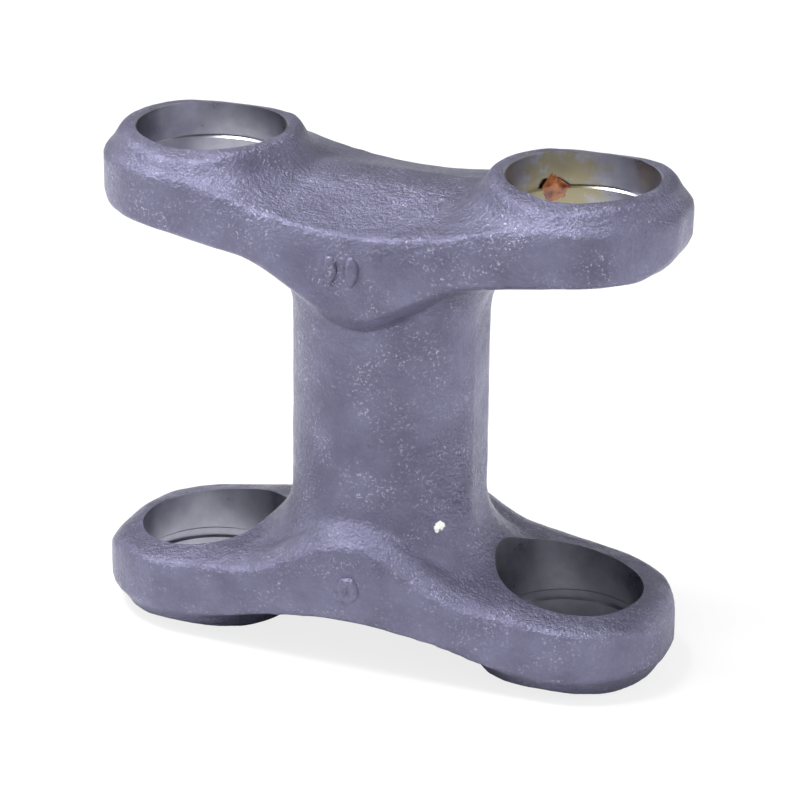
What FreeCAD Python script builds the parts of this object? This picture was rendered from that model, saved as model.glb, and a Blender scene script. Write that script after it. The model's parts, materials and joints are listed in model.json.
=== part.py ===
# Centre yoke of a double universal joint: one closed-die steel forging shaped like an H.
# X runs along the two links, Z along the bore axes, Y along the die draw. The parting plane is Y = 0.
# The origin is the centre of the yoke. The lower link mirrors the upper one.
import FreeCAD, Part
import math
import os

# ---- bearing seats, machined ----
bore_diameter = 30.0        # bearing cap seat
bore_spacing = 77.8         # between the two bore axes of one link
cap_span = 88.0             # over the bearing caps, between the inner walls of opposite ring grooves
ring_groove_width = 2.1
ring_groove_depth = 0.8
groove_lead_in = 0.35       # broken inner corner of the ring groove
mouth_chamfer = 0.25

# ---- eyes ----
overall_height = 103.8      # over the outer faces of the eyes
eye_radius = 21.5
eye_end_reach = 20.95       # bore axis to the trimmed end face
eye_inner_height = 33.0     # inner face at the bore axis, on the parting plane
eye_taper = 9.0             # degrees, the eye gets thinner towards its free end
eye_lower_corner = 5.0
eye_roll_start = 16.0       # distance from the parting plane where the inner face starts to roll over
eye_roll_radius = 16.0
eye_edge_radius = 1.6       # round between the inner faces and the front and back walls
face_flat = 3.0             # half width of the level strip of the outer face
face_fall = 2.5             # degrees, the outer face falls away from that strip
face_roll_start = 11.0      # distance from the parting plane where the face starts to roll over
face_roll_radius = 25.0
face_corner_start = 19.5    # distance from the parting plane where the roll tightens into the corner
face_corner_radius = 2.6
face_flank = 76.0           # degrees from level
collar_top_radius = 16.4
collar_side_angle = 60.0    # degrees from level
collar_root_radius = 6.0
collar_root_angle = 25.0    # degrees, slope where the root runs out into the saddle
collar_crown_radius = 2.4
shoulder_height = 45.2      # top of the link beside the collar, at the front and back faces

# ---- links ----
link_depth = 47.4           # across the draw, at the middle of the link
die_draft = 6.0             # degrees
land_half_width = 4.3       # trimmed flash land, each side of the parting plane
saddle_height = 46.2        # bottom of the saddle between the collars, on the land
saddle_edge_height = 40.4   # the same, at the front and back faces
saddle_edge_reach = 27.0
bib_tip_height = 20.4       # lowest point of the swelling where the link meets the column
bib_tip_flat = 8.0
bib_reach = 24.0
bib_slope = 40.0            # degrees, how fast the swelling draws back towards the front face

# ---- column ----
column_crest = 19.0         # half depth of the column across the draw
column_width = 38.4         # across the trimmed flats
column_swell = 19.75        # half width the column would have without its trimmed flats
column_fillet = 13.0        # into the inner faces of the eyes, on the land
column_front_fillet = 14.0  # the same, at the crest of the column
fillet_run_in = 5.0         # degrees short of tangent, so that the fillet runs cleanly into the eye
column_last_step = 83.0     # degrees round the column from the parting plane to its front strip

# ---- modelling ----
overlap = 2.0               # how far hidden ends run into the links, and cutters run past the walls

# ---- derived ----
bore_radius = bore_diameter / 2
axis_x = bore_spacing / 2
top_z = overall_height / 2
end_x = axis_x + eye_end_reach
link_half = link_depth / 2
taper = math.tan(math.radians(eye_taper))
draft = math.tan(math.radians(die_draft))
cut_depth = link_half + overlap / 2

V = FreeCAD.Vector
ORIGIN = V(0, 0, 0)
AXIS_X = V(1, 0, 0)
AXIS_Y = V(0, 1, 0)
AXIS_Z = V(0, 0, 1)


def line(a, b):
    return Part.LineSegment(a, b).toShape()


def arc(a, mid, b):
    return Part.Arc(a, mid, b).toShape()


def bezier(*poles):
    curve = Part.BezierCurve()
    curve.setPoles(list(poles))
    return curve.toShape()


def closed_section(right_half):
    """A closed wire from its right half, which starts and ends on X = 0."""
    left_half = [edge.mirror(ORIGIN, AXIS_X) for edge in reversed(right_half)]
    return Part.Wire(Part.__sortEdges__(right_half + left_half))


def both_draws(sections):
    """The flash land as a slab, with the solid through sections on ever larger Y on both sides of it."""
    slab = Part.Face(sections[0]).extrude(V(0, -2 * land_half_width, 0))
    half = Part.makeLoft(sections, True, False)
    return slab.fuse([half, half.mirror(ORIGIN, AXIS_Y)])


def spoke(angle):
    """Unit vector in the YZ plane, leaning from +Z towards +Y."""
    return V(0, math.sin(angle), math.cos(angle))


def inner_face(x, y):
    """Height of the inner face of an eye at x, on the draw level y."""
    roll = max(0.0, y - eye_roll_start) ** 2 / (2 * eye_roll_radius)
    return eye_inner_height + (x - axis_x) * taper + max(0.0, y - land_half_width) * draft + roll


def between(a, b, y):
    """From a on the land to b at the cut depth."""
    share = max(0.0, y - land_half_width) / (cut_depth - land_half_width)
    return a + (b - a) * share


def link_section(y):
    """Front outline of the upper link on the draw level y."""
    x_end = end_x - max(0.0, y - land_half_width) * draft
    x_turn = x_end - eye_lower_corner
    z_turn = inner_face(x_end, y) + eye_lower_corner
    side = eye_lower_corner * (1 - math.cos(math.pi / 4))
    z_top = between(saddle_height, shoulder_height, y)
    z_saddle = between(saddle_height, saddle_edge_height, y)
    tip = bib_tip_height + (y - column_crest) * math.tan(math.radians(bib_slope))
    tip = max(tip, bib_tip_height)
    start = V(bib_reach, y, inner_face(bib_reach, y))
    steer = V(bib_reach - bib_tip_flat, y, inner_face(bib_reach - bib_tip_flat, y))
    turn = V(x_turn, y, inner_face(x_turn, y))
    corner = V(x_end - side, y, z_turn - eye_lower_corner + side)
    return closed_section([
        bezier(V(0, y, tip), V(bib_tip_flat, y, tip), steer, start),
        line(start, turn),
        arc(turn, corner, V(x_end, y, z_turn)),
        line(V(x_end, y, z_turn), V(x_end, y, z_top)),
        line(V(x_end, y, z_top), V(saddle_edge_reach, y, z_top)),
        bezier(V(saddle_edge_reach, y, z_top), V(saddle_edge_reach / 2, y, z_saddle), V(0, y, z_saddle)),
    ])


def link_plan():
    """Outline of the link seen along the bore axes: two eyes and the swollen sides between them."""
    reach = side_radius() - eye_radius
    tx = axis_x + eye_radius * axis_x / reach
    ty = eye_radius * (side_radius() - link_half) / reach
    right = arc(V(tx, -ty, 0), V(axis_x + eye_radius, 0, 0), V(tx, ty, 0))
    back = arc(V(tx, ty, 0), V(0, link_half, 0), V(-tx, ty, 0))
    left = arc(V(-tx, ty, 0), V(-axis_x - eye_radius, 0, 0), V(-tx, -ty, 0))
    front = arc(V(-tx, -ty, 0), V(0, -link_half, 0), V(tx, -ty, 0))
    return Part.Face(Part.Wire([right, back, left, front]))


def collar():
    """Turned shape of the raised ring round a bore, with its concave root, about the Z axis."""
    side = math.radians(collar_side_angle)
    crown_turn = collar_crown_radius * math.tan(side / 2)
    side_top = V(collar_top_radius + collar_crown_radius * math.sin(side), 0,
                 top_z - collar_crown_radius * (1 - math.cos(side)))
    crown_mid = V(collar_top_radius + collar_crown_radius * math.sin(side / 2), 0,
                  top_z - collar_crown_radius * (1 - math.cos(side / 2)))
    run_out = math.radians(collar_root_angle)
    drop = collar_root_radius * (math.cos(run_out) - math.cos(side))
    side_length = (side_top.z - saddle_height - drop) / math.sin(side)
    root_top = side_top + V(math.cos(side), 0, -math.sin(side)) * side_length
    centre = root_top + V(math.sin(side), 0, math.cos(side)) * collar_root_radius
    middle = (side + run_out) / 2
    root_mid = centre - V(math.sin(middle), 0, math.cos(middle)) * collar_root_radius
    root_end = centre - V(math.sin(run_out), 0, math.cos(run_out)) * collar_root_radius
    floor = (saddle_edge_height + saddle_height) / 2
    skirt = V(root_end.x + (root_end.z - floor) / math.tan(run_out), 0, floor)
    profile = Part.Wire([
        line(V(0, 0, top_z), V(collar_top_radius, 0, top_z)),
        arc(V(collar_top_radius, 0, top_z), crown_mid, side_top),
        line(side_top, root_top),
        arc(root_top, root_mid, root_end),
        line(root_end, skirt),
        line(skirt, V(0, 0, floor)),
        line(V(0, 0, floor), V(0, 0, top_z)),
    ])
    return Part.Face(profile).revolve(ORIGIN, AXIS_Z, 360)


def face_stock():
    """The room above an eye that the die roof fills: the stock to take off, along the whole yoke."""
    fall = math.radians(face_fall)
    turn = math.asin(math.sin(fall) + (face_corner_start - face_roll_start) / face_roll_radius)
    end = math.radians(face_flank)
    start = V(0, face_roll_start, top_z - (face_roll_start - face_flat) * math.tan(fall))
    centre = start - spoke(fall) * face_roll_radius
    roll_mid = centre + spoke((fall + turn) / 2) * face_roll_radius
    roll_end = centre + spoke(turn) * face_roll_radius
    centre = roll_end - spoke(turn) * face_corner_radius
    corner_mid = centre + spoke((turn + end) / 2) * face_corner_radius
    corner_end = centre + spoke(end) * face_corner_radius
    flank = corner_end + V(0, math.cos(end), -math.sin(end)) * ((cut_depth - corner_end.y) / math.cos(end))
    roof = V(0, flank.y, overall_height)
    ridge = V(0, face_flat, top_z)
    outline = Part.Wire([
        line(ridge, start),
        arc(start, roll_mid, roll_end),
        arc(roll_end, corner_mid, corner_end),
        line(corner_end, flank),
        line(flank, roof),
        line(roof, V(0, face_flat, overall_height)),
        line(V(0, face_flat, overall_height), ridge),
    ])
    return Part.Face(outline).extrude(V(2 * overall_height, 0, 0)).translated(V(-overall_height, 0, 0))


def side_radius():
    """Radius of the swollen side of a link, which runs smoothly into the rounds of its two eyes."""
    return (axis_x ** 2 + link_half ** 2 - eye_radius ** 2) / (2 * (link_half - eye_radius))


def wall_depth(x):
    """Distance of the front and back walls from the parting plane at x."""
    beyond = max(0.0, abs(x) - axis_x)
    if beyond:
        return math.sqrt(max(0.0, eye_radius ** 2 - beyond ** 2))
    return math.sqrt(side_radius() ** 2 - x ** 2) - side_radius() + link_half


def inner_wall_edges(shape):
    """Edges where the inner side of a link meets its front and back walls."""
    found = []
    for edge in shape.Edges:
        box = edge.BoundBox
        middle = edge.valueAt((edge.FirstParameter + edge.LastParameter) / 2)
        on_wall = abs(abs(middle.y) - wall_depth(middle.x)) < 0.05
        if on_wall and middle.z < saddle_edge_height - overlap / 2 and box.ZLength < box.DiagonalLength * 0.9:
            found.append(edge)
    return found


def upper_link():
    """The link between the two upper eyes, with the eyes, before the bores."""
    body_levels = [land_half_width + (column_crest - land_half_width) * step / 3 for step in range(4)]
    levels = body_levels + [(column_crest + cut_depth) / 2, cut_depth]
    body = both_draws([link_section(y) for y in levels])
    plan = link_plan().extrude(V(0, 0, overall_height))
    room = Part.makeBox(2 * end_x, overall_height, overall_height, V(-end_x, -overall_height / 2, 0))
    ring = collar()
    for side in (-1, 1):
        body = body.fuse(ring.translated(V(side * axis_x, 0, 0)))
    link = body.common(plan).common(room)
    stock = face_stock()
    link = link.cut(stock).cut(stock.mirror(ORIGIN, AXIS_Y)).removeSplitter()
    return link.makeFillet(eye_edge_radius, inner_wall_edges(link))


def spool_section(x, y, radius):
    """Outline of the column and its fillets on the draw level y. x is the half width of the column there."""
    lean = math.radians(eye_taper)
    run_in = math.radians(eye_taper + fillet_run_in)
    cx = x + radius
    cz = inner_face(cx - radius * math.sin(lean), y) - radius * math.cos(lean)
    middle = (math.pi / 2 + run_in + math.pi) / 2
    foot = V(x, y, cz)
    bend = V(cx + radius * math.cos(middle), y, cz + radius * math.sin(middle))
    head = V(cx - radius * math.sin(run_in), y, cz + radius * math.cos(run_in))
    inside = head + V(math.cos(run_in), 0, math.sin(run_in)) * overlap
    roof = inside + V(0, 0, overlap)
    upper = [arc(foot, bend, head), line(head, inside), line(inside, roof), line(roof, V(0, y, roof.z))]
    lower = [edge.mirror(ORIGIN, AXIS_Z) for edge in reversed(upper)]
    return closed_section(lower + [line(V(x, y, -foot.z), foot)] + upper)


def spool():
    """The column with the fillets that carry it into the four eyes."""
    first = math.asin(land_half_width / column_crest)
    last = math.radians(column_last_step)
    sections = []
    for step in range(6):
        turn = first + (last - first) * step / 5
        y = column_crest * math.sin(turn)
        share = (y - land_half_width) / (column_crest - land_half_width)
        radius = column_fillet + (column_front_fillet - column_fillet) * share
        x = min(column_width / 2, column_swell * math.cos(turn))
        sections.append(spool_section(x, y, radius))
    return both_draws(sections)


def turned(points):
    """The solid of revolution about Z from half a profile given as (radius, height)."""
    profile = Part.makePolygon([V(r, 0, z) for r, z in points + points[:1]])
    return Part.Face(profile).revolve(ORIGIN, AXIS_Z, 360)


def bore():
    """The cutter for one upper bore: through hole, ring groove and broken mouth."""
    groove_floor = bore_radius + ring_groove_depth
    seat = cap_span / 2
    mouth_radius = bore_radius + 2 * mouth_chamfer
    bottom = bib_tip_height
    return turned([
        (0, bottom), (bore_radius, bottom),
        (bore_radius, seat - groove_lead_in), (bore_radius + groove_lead_in, seat),
        (groove_floor, seat), (groove_floor, seat + ring_groove_width),
        (bore_radius, seat + ring_groove_width), (bore_radius, top_z - 2 * mouth_chamfer),
        (mouth_radius, top_z), (mouth_radius, top_z + overlap),
        (0, top_z + overlap),
    ])


link = upper_link()
yoke = link.fuse([link.mirror(ORIGIN, AXIS_Z), spool()])
cutter = bore()
for side in (-1, 1):
    placed = cutter.translated(V(side * axis_x, 0, 0))
    yoke = yoke.cut([placed, placed.mirror(ORIGIN, AXIS_Z)])
yoke = yoke.removeSplitter()
os.makedirs("parts", exist_ok=True)
yoke.exportStep("parts/yoke.step")
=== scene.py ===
import json
import math
import bpy
from mathutils import Matrix, Vector


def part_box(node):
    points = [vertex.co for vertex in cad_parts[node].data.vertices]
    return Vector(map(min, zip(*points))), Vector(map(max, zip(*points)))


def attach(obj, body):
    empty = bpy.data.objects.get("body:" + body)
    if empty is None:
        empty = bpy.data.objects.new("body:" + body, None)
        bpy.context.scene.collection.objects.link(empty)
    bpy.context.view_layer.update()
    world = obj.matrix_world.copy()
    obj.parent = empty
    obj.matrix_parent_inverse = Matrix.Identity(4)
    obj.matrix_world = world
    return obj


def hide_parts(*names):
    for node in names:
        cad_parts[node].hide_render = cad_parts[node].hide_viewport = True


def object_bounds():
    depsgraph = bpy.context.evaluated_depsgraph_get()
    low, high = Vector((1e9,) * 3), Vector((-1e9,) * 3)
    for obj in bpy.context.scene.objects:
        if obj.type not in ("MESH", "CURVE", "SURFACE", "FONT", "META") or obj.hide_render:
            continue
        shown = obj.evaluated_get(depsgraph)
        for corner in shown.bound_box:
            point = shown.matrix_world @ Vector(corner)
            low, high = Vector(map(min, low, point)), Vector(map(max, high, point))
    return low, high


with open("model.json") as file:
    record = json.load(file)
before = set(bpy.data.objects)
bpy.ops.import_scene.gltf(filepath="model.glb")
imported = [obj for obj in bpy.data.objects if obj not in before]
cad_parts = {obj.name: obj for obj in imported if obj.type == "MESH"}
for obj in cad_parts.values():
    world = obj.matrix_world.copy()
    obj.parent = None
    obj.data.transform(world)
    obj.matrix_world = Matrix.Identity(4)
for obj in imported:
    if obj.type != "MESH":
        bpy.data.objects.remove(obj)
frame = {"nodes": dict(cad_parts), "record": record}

cad_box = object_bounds()
MM = 0.001
yoke = frame["nodes"]["yoke"]
mounts = {m["name"]: m for m in frame["record"]["mounts"]}

# ---- driving sizes, in metres ----
BORE_RADIUS = mounts["bore_upper_right"]["dims"]["r_mm"] * MM
BORE_X = mounts["bore_upper_right"]["pos_m"][0]
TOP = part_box("yoke")[1].z
SEAT = 44.0 * MM                # inner wall of the ring groove
GROOVE_WIDTH = 2.1 * MM
GROOVE_DEPTH = 0.8 * MM
LEAD_IN = 0.35 * MM             # broken inner corner of the ring groove
MOUTH_CHAMFER = 0.25 * MM
GRAIN = 0.8 * MM                # size of the net that carries the forged skin
BORE_STEPS = 128                # flats round one bore
WELD = 1e-6                     # points closer than this become one
PAD_ROOT = 0.6 * MM             # how deep a raised mark is set into the wall
PAD_LIFT = 0.7 * MM             # how far a raised mark stands out of the wall
PAD_SHOULDER = (0.86, 1, 0.90)  # size of a mark half way up, against its foot
PAD_CROWN = (0.66, 1, 0.80)     # size of its top, against the shoulder
PAINTED_HIGHLIGHT_SPOT = (15.4, -12.3, -21.5)     # painted highlight, a near-white patch on the column's lower front fillet, in millimetres
OIL = (29.4, 11.9, 44.0)        # dried oil in the upper right bore, in millimetres
OIL_SPREAD = 3.0                # half breadth of the patch round the bore, in millimetres
OIL_LENGTH = 3.2                # half length along the bore, in millimetres
OIL_SWELL = 0.55                # half thickness, in millimetres
OIL_SINK = 0.2 * MM             # its middle lies this far behind the bore wall


def clear_selection():
    if bpy.context.object and bpy.context.object.mode != "OBJECT":
        bpy.ops.object.mode_set(mode="OBJECT")
    bpy.ops.object.select_all(action="DESELECT")


def make_active(piece):
    clear_selection()
    piece.select_set(True)
    bpy.context.view_layer.objects.active = piece


def apply_modifier(piece, kind, **settings):
    make_active(piece)
    modifier = piece.modifiers.new(kind.lower(), kind)
    for name, value in settings.items():
        setattr(modifier, name, value)
    bpy.ops.object.modifier_apply(modifier=modifier.name)


# ---- forging ----

def bore_centres():
    return [(side * BORE_X, level) for side in (-1, 1) for level in (-1, 1)]


def is_machined(centre, normal):
    """Is this face of the CAD yoke one that the boring bar or the grooving tool made?"""
    reach = min(math.hypot(centre.x - x, centre.y) for x, _ in bore_centres())
    height = abs(centre.z)
    levelness = abs(normal.z)   # 0 on an upright wall, 1 on a level face
    wall = levelness < 0.1 and reach < BORE_RADIUS + GROOVE_DEPTH + 0.15 * MM
    beside_groove = SEAT - 2 * LEAD_IN < height < SEAT + GROOVE_WIDTH + 0.2 * MM
    groove = beside_groove and reach < BORE_RADIUS + 0.9 * GROOVE_DEPTH
    at_mouth = height > TOP - 2.2 * MOUTH_CHAMFER and levelness < 0.95
    mouth = at_mouth and reach < BORE_RADIUS + 1.8 * MOUTH_CHAMFER
    return wall or groove or mouth


def rough_forging():
    """The forging as it leaves the trimming press, with no bores yet."""
    piece = bpy.data.objects.new("forging", yoke.data.copy())
    bpy.context.scene.collection.objects.link(piece)
    make_active(piece)
    bpy.ops.object.mode_set(mode="EDIT")
    bpy.ops.mesh.select_all(action="SELECT")
    bpy.ops.mesh.remove_doubles(threshold=WELD)
    bpy.ops.mesh.select_all(action="DESELECT")
    bpy.ops.object.mode_set(mode="OBJECT")
    for polygon in piece.data.polygons:
        polygon.select = is_machined(polygon.center, polygon.normal)
    bpy.ops.object.mode_set(mode="EDIT")
    bpy.ops.mesh.select_mode(type="FACE")
    bpy.ops.mesh.delete(type="FACE")
    bpy.ops.mesh.select_all(action="SELECT")
    bpy.ops.mesh.fill_holes(sides=0)
    bpy.ops.object.mode_set(mode="OBJECT")
    apply_modifier(piece, "REMESH", mode="VOXEL", voxel_size=GRAIN)
    apply_modifier(piece, "SMOOTH", factor=0.5, iterations=3)
    return piece


def hammer(piece, name, size, depth):
    """Moves the skin in and out by up to depth, in lumps of that size."""
    lumps = bpy.data.textures.new(name, "CLOUDS")
    lumps.noise_scale = size
    apply_modifier(piece, "DISPLACE", texture=lumps, texture_coords="LOCAL", strength=depth, mid_level=0.5)


def bore_cutter(x, level):
    """Boring bar and grooving tool as one turned shape, on the bore axis at x, above or below."""
    groove_floor = BORE_RADIUS + GROOVE_DEPTH
    mouth = BORE_RADIUS + 2 * MOUTH_CHAMFER
    outside = TOP + 4 * MM
    inside = TOP / 2
    profile = [
        (0, inside), (BORE_RADIUS, inside), (BORE_RADIUS, SEAT - LEAD_IN), (BORE_RADIUS + LEAD_IN, SEAT),
        (groove_floor, SEAT), (groove_floor, SEAT + GROOVE_WIDTH), (BORE_RADIUS, SEAT + GROOVE_WIDTH),
        (BORE_RADIUS, TOP - 2 * MOUTH_CHAMFER), (mouth, TOP), (mouth, outside), (0, outside),
    ]
    mesh = bpy.data.meshes.new("cutter")
    mesh.from_pydata([(r, 0, z) for r, z in profile], [(i, i + 1) for i in range(len(profile) - 1)], [])
    piece = bpy.data.objects.new("cutter", mesh)
    bpy.context.scene.collection.objects.link(piece)
    make_active(piece)
    bpy.ops.object.mode_set(mode="EDIT")
    bpy.ops.mesh.select_all(action="SELECT")
    bpy.ops.mesh.spin(steps=BORE_STEPS, angle=2 * math.pi, center=(0, 0, 0), axis=(0, 0, 1))
    bpy.ops.mesh.select_all(action="SELECT")
    bpy.ops.mesh.remove_doubles(threshold=WELD)
    bpy.ops.object.mode_set(mode="OBJECT")
    piece.data.transform(Matrix.Translation((x, 0, 0)) @ Matrix.Diagonal((1, 1, level, 1)))
    make_active(piece)
    bpy.ops.object.mode_set(mode="EDIT")
    bpy.ops.mesh.select_all(action="SELECT")
    bpy.ops.mesh.normals_make_consistent(inside=False)
    bpy.ops.object.mode_set(mode="OBJECT")
    return piece


def machine_bores(piece, bright):
    for x, level in bore_centres():
        cutter = bore_cutter(x, level)
        cutter.data.materials.append(bright)
        apply_modifier(piece, "BOOLEAN", object=cutter, operation="DIFFERENCE", solver="EXACT",
                       material_mode="TRANSFER")
        bpy.data.objects.remove(cutter)


# ---- materials ----

class Recipe:
    """A material and short ways to add its nodes."""

    def __init__(self, name):
        self.material = bpy.data.materials.new(name)
        self.material.use_nodes = True
        self.nodes = self.material.node_tree.nodes
        self.links = self.material.node_tree.links
        self.surface = self.nodes["Principled BSDF"]
        self.place = self.nodes.new("ShaderNodeTexCoord").outputs["Object"]

    def link(self, source, target):
        self.links.new(source, target)

    def feed(self, value, socket):
        """Links another node's output into the socket, or sets the socket to a plain value."""
        if hasattr(value, "links"):
            self.link(value, socket)
        else:
            socket.default_value = (*value, 1) if isinstance(value, tuple) else value

    def noise(self, size, detail=2.0, roughness=0.5, place=None):
        node = self.nodes.new("ShaderNodeTexNoise")
        node.inputs["Scale"].default_value = 1 / size
        node.inputs["Detail"].default_value = detail
        node.inputs["Roughness"].default_value = roughness
        self.link(place or self.place, node.inputs["Vector"])
        return node.outputs["Fac"]

    def ramp(self, value, stops):
        node = self.nodes.new("ShaderNodeValToRGB")
        ramp = node.color_ramp
        while len(ramp.elements) < len(stops):
            ramp.elements.new(0.5)
        for element, (position, shade) in zip(ramp.elements, stops):
            element.position = position
            element.color = (*shade, 1) if isinstance(shade, tuple) else (shade, shade, shade, 1)
        self.link(value, node.inputs["Fac"])
        return node.outputs["Color"]

    def mix(self, share, a, b):
        node = self.nodes.new("ShaderNodeMix")
        node.data_type = "RGBA"
        self.feed(share, node.inputs["Factor"])
        self.feed(a, node.inputs["A"])
        self.feed(b, node.inputs["B"])
        return node.outputs["Result"]

    def maths(self, operation, a, b):
        node = self.nodes.new("ShaderNodeMath")
        node.operation = operation
        self.feed(a, node.inputs[0])
        self.feed(b, node.inputs[1])
        return node.outputs["Value"]

    def bump(self, height, depth, strength, normal=None):
        node = self.nodes.new("ShaderNodeBump")
        node.inputs["Strength"].default_value = strength
        node.inputs["Distance"].default_value = depth
        self.link(height, node.inputs["Height"])
        if normal:
            self.link(normal, node.inputs["Normal"])
        return node.outputs["Normal"]


def patch(r, centre, radius):
    """1 at a place on the yoke, given in millimetres, that fades to 0 at the radius."""
    node = r.nodes.new("ShaderNodeVectorMath")
    node.operation = "DISTANCE"
    r.link(r.place, node.inputs[0])
    node.inputs[1].default_value = [c * MM for c in centre]
    return r.ramp(r.maths("DIVIDE", node.outputs["Value"], radius), [(0.0, 1.0), (1.0, 0.0)])


def forging_scale():
    """Dark blue-grey scale of a hot forging, pitted by the shot, with bright grain where it is rubbed, and a
    painted highlight on the column's lower front fillet.
    """
    r = Recipe("forging_scale")
    tone = r.noise(11 * MM, 5, 0.6)
    colour = r.ramp(tone, [(0.30, (0.105, 0.102, 0.160)), (0.70, (0.165, 0.163, 0.245))])
    flecks = r.ramp(r.noise(0.62 * MM, 4, 0.75), [(0.56, 0.0), (0.64, 1.0)])
    rubbed = r.ramp(r.noise(8 * MM, 3, 0.6), [(0.46, 0.08), (0.66, 0.8)])
    colour = r.mix(r.maths("MULTIPLY", flecks, rubbed), colour, (0.46, 0.45, 0.55))
    # Painted highlight: a near-white patch in the base colour where light falls on the column's lower front
    # fillet.
    painted_highlight = r.maths("MULTIPLY", patch(r, PAINTED_HIGHLIGHT_SPOT, 2.2 * MM), r.noise(0.9 * MM, 2, 0.5))
    colour = r.mix(r.ramp(painted_highlight, [(0.24, 0.0), (0.30, 1.0)]), colour, (0.85, 0.85, 0.80))
    r.link(colour, r.surface.inputs["Base Color"])
    r.surface.inputs["Metallic"].default_value = 0.85
    rough = r.ramp(r.noise(1.4 * MM, 4, 0.7), [(0.30, 0.30), (0.72, 0.52)])
    r.link(rough, r.surface.inputs["Roughness"])
    pits = r.bump(r.noise(3.0 * MM, 5, 0.6), 0.45 * MM, 0.9)
    grain = r.bump(r.noise(0.75 * MM, 4, 0.7), 0.30 * MM, 1.0, pits)
    r.link(grain, r.surface.inputs["Normal"])
    return r.material


def machined_steel():
    """Bored steel with fine tool rings, dulled by a film of oil that has dried yellow in one bore."""
    r = Recipe("machined_steel")
    split = r.nodes.new("ShaderNodeSeparateXYZ")
    r.link(r.place, split.inputs[0])
    rings = r.nodes.new("ShaderNodeCombineXYZ")
    r.link(split.outputs["Z"], rings.inputs["Z"])
    lines = r.noise(0.25 * MM, 3, 0.6, rings.outputs[0])
    film = r.noise(7 * MM, 3, 0.6)
    colour = r.ramp(film, [(0.3, (0.27, 0.27, 0.32)), (0.7, (0.40, 0.40, 0.46))])
    oil = r.maths("MULTIPLY", patch(r, OIL, 19 * MM), r.noise(2.6 * MM, 4, 0.65))
    colour = r.mix(r.ramp(oil, [(0.20, 0.0), (0.34, 0.8)]), colour, (0.30, 0.26, 0.13))
    r.link(colour, r.surface.inputs["Base Color"])
    r.surface.inputs["Metallic"].default_value = 1.0
    r.link(r.ramp(film, [(0.2, 0.24), (0.8, 0.38)]), r.surface.inputs["Roughness"])
    r.link(r.bump(lines, 0.02 * MM, 0.7), r.surface.inputs["Normal"])
    return r.material


def dried_oil():
    """Amber oil, dried to a glossy brown skin."""
    r = Recipe("dried_oil")
    colour = r.ramp(r.noise(1.6 * MM, 3, 0.6), [(0.35, (0.16, 0.030, 0.008)), (0.65, (0.50, 0.16, 0.030))])
    r.link(colour, r.surface.inputs["Base Color"])
    r.surface.inputs["Roughness"].default_value = 0.22
    r.surface.inputs["Coat Weight"].default_value = 0.5
    r.link(r.bump(r.noise(0.8 * MM, 3, 0.6), 0.15 * MM, 0.6), r.surface.inputs["Normal"])
    return r.material


# ---- raised marks and dried oil ----

def raised_pad(name, x, z, width, height, taper, material, dished=False):
    """A raised mark on the front wall. The taper narrows its lower end."""
    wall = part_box("yoke")[0].y
    bpy.ops.mesh.primitive_circle_add(vertices=32, radius=0.5, fill_type="NGON", rotation=(math.pi / 2, 0, 0))
    piece = bpy.context.object
    piece.name = name
    bpy.ops.object.transform_apply(location=False, rotation=True, scale=False)
    piece.data.transform(Matrix.Translation((x, wall + PAD_ROOT, z)) @ Matrix.Diagonal((width, 1, height, 1)))
    for vertex in piece.data.vertices:
        down = max(0.0, (z - vertex.co.z) / (height / 2))
        vertex.co.x = x + (vertex.co.x - x) * (1 - taper * down)
    middle = (x, wall, z)
    bpy.ops.object.mode_set(mode="EDIT")
    bpy.ops.mesh.select_all(action="SELECT")
    bpy.ops.mesh.extrude_region_move(TRANSFORM_OT_translate={"value": (0, -PAD_ROOT, 0)})
    bpy.ops.mesh.extrude_region_move(TRANSFORM_OT_translate={"value": (0, -PAD_LIFT / 2, 0)})
    bpy.ops.transform.resize(value=PAD_SHOULDER, center_override=middle)
    bpy.ops.mesh.extrude_region_move(TRANSFORM_OT_translate={"value": (0, -PAD_LIFT / 2, 0)})
    bpy.ops.transform.resize(value=PAD_CROWN, center_override=middle)
    if dished:
        bpy.ops.mesh.inset(thickness=0.28 * width)
        bpy.ops.transform.translate(value=(0, 0.8 * PAD_LIFT, 0))
    bpy.ops.object.mode_set(mode="OBJECT")
    apply_modifier(piece, "SUBSURF", levels=2, render_levels=2)
    hammer(piece, name + "_wear", 1.4 * MM, 0.30 * MM)
    make_active(piece)
    bpy.ops.object.shade_smooth()
    return finish_piece(piece, material)


def oil_drop(material):
    """The patch of dried oil on the far wall of the upper right bore, with its tail up to the mouth."""
    turn = math.atan2(OIL[1], OIL[0] - BORE_X / MM)
    bpy.ops.mesh.primitive_uv_sphere_add(segments=48, ring_count=32, radius=1 * MM)
    piece = bpy.context.object
    piece.name = "oil_patch"
    for vertex in piece.data.vertices:
        across = vertex.co.y * OIL_SPREAD
        along = vertex.co.z * OIL_LENGTH
        narrow = 1 - 0.75 * max(0.0, along / (OIL_LENGTH * MM))
        drift = 0.3 * max(0.0, along)
        angle = turn + (across * narrow + drift) / BORE_RADIUS
        depth = BORE_RADIUS + OIL_SINK + vertex.co.x * OIL_SWELL
        vertex.co = (BORE_X + depth * math.cos(angle), depth * math.sin(angle), OIL[2] * MM + along)
    hammer(piece, "oil_lumps", 1.8 * MM, 0.5 * MM)
    make_active(piece)
    bpy.ops.object.shade_smooth()
    return finish_piece(piece, material)


def finish_piece(piece, material):
    piece.data.materials.clear()
    piece.data.materials.append(material)
    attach(piece, "root")
    return piece


# ---- studio ----

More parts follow.
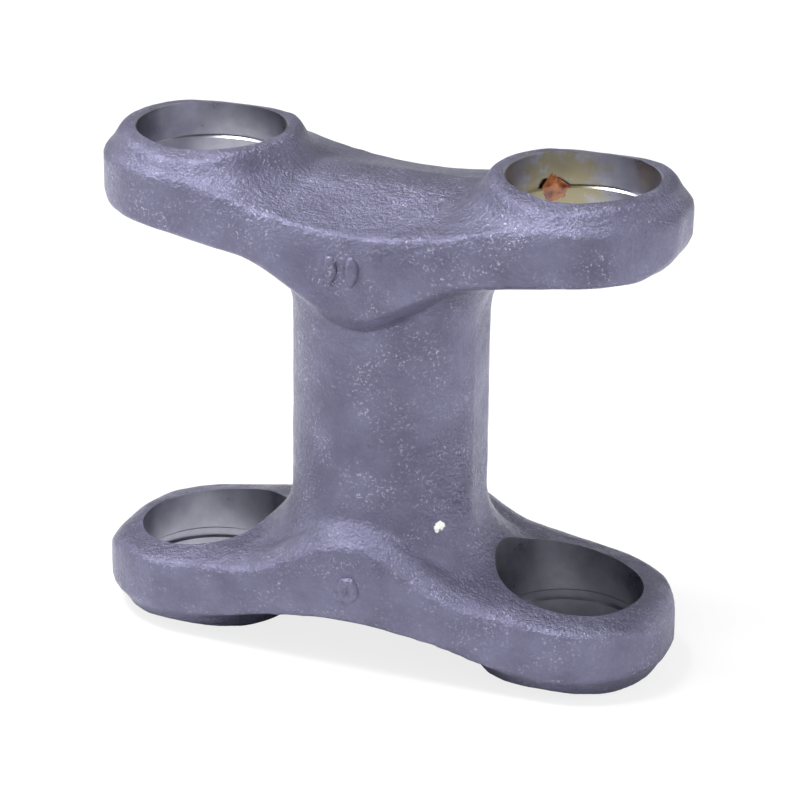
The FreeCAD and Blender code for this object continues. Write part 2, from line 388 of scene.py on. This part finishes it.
def floor():
    bpy.ops.mesh.primitive_plane_add(size=8, location=(0, 0, cad_box[0].z))
    ground = bpy.context.object
    ground.name = "floor"
    r = Recipe("pale_floor")
    r.nodes.remove(r.surface)
    diffuse = r.nodes.new("ShaderNodeBsdfDiffuse")
    diffuse.inputs["Color"].default_value = (0.85, 0.85, 0.85, 1)
    glow = r.nodes.new("ShaderNodeEmission")
    glow.inputs["Color"].default_value = (1, 1, 1, 1)
    path = r.nodes.new("ShaderNodeLightPath")
    seen = r.maths("MAXIMUM", path.outputs["Is Camera Ray"], path.outputs["Is Transmission Ray"])
    white_share = 0.8
    share = r.maths("MULTIPLY", seen, white_share)
    mixer = r.nodes.new("ShaderNodeMixShader")
    r.link(share, mixer.inputs[0])
    r.link(diffuse.outputs[0], mixer.inputs[1])
    r.link(glow.outputs[0], mixer.inputs[2])
    r.link(mixer.outputs[0], r.nodes["Material Output"].inputs["Surface"])
    ground.data.materials.append(r.material)


def softbox(name, azimuth, elevation, distance, size, power):
    """A square soft lamp that looks at the middle of the yoke. Azimuth 0 stands in front, on -Y."""
    a, e = math.radians(azimuth), math.radians(elevation)
    away = Vector((math.sin(a) * math.cos(e), -math.cos(a) * math.cos(e), math.sin(e)))
    lamp = bpy.data.lights.new(name, "AREA")
    lamp.shape = "SQUARE"
    lamp.size = size
    lamp.energy = power
    stand = bpy.data.objects.new(name, lamp)
    stand.location = away * distance
    stand.rotation_mode = "QUATERNION"
    stand.rotation_quaternion = away.to_track_quat("Z", "Y")
    bpy.context.scene.collection.objects.link(stand)


def studio():
    floor()
    world = bpy.data.worlds.new("studio")
    bpy.context.scene.world = world
    world.use_nodes = True
    world.node_tree.nodes["Background"].inputs["Color"].default_value = (1, 1, 1, 1)
    world.node_tree.nodes["Background"].inputs["Strength"].default_value = 0.5
    softbox("overhead", -60, 68, 0.9, 0.28, 13)
    softbox("left", -75, 25, 1.0, 0.4, 3)
    softbox("right", 100, 15, 1.0, 0.6, 5)


def camera():
    """Looks down on the yoke from the front right, through a long lens."""
    azimuth, elevation, roll = math.radians(21.034), math.radians(22.913), math.radians(0.746)
    distance, aside, above = 695.2 * MM, 1.827 * MM, -1.153 * MM
    back = Vector((math.sin(azimuth) * math.cos(elevation), -math.cos(azimuth) * math.cos(elevation),
                   math.sin(elevation)))
    level = Vector((math.cos(azimuth), math.sin(azimuth), 0))
    upright = back.cross(level)
    right = math.cos(roll) * level + math.sin(roll) * upright
    up = math.cos(roll) * upright - math.sin(roll) * level
    lens = bpy.data.cameras.new("camera")
    lens.lens = 155.85
    lens.sensor_width = 36
    lens.clip_start = 0.01
    stand = bpy.data.objects.new("camera", lens)
    turn = Matrix((right, up, back)).transposed()
    sag = Vector((0, 0, -0.3 * MM))
    place = back * distance + right * aside + up * above + sag
    stand.matrix_world = Matrix.Translation(place) @ turn.to_4x4()
    bpy.context.scene.collection.objects.link(stand)
    bpy.context.scene.camera = stand


camera()
scale = forging_scale()
bright = machined_steel()
forging = rough_forging()
hammer(forging, "waves", 14 * MM, 0.30 * MM)
hammer(forging, "dimples", 4 * MM, 0.16 * MM)
forging.data.materials.clear()
forging.data.materials.append(scale)
machine_bores(forging, bright)
make_active(forging)
bpy.ops.object.shade_smooth_by_angle(angle=math.radians(35))
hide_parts("yoke")
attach(forging, "root")
clear_selection()
raised_pad("mark_left", -3.8 * MM, 33.9 * MM, 3.4 * MM, 6.2 * MM, 0.45, scale)
raised_pad("mark_right", 0.7 * MM, 34.1 * MM, 3.4 * MM, 6.2 * MM, 0.45, scale)
raised_pad("round_mark", 0.3 * MM, -33.4 * MM, 5.2 * MM, 5.6 * MM, 0.0, scale, dished=True)
oil_drop(dried_oil())
studio()
bpy.context.scene.view_settings.view_transform = "Standard"
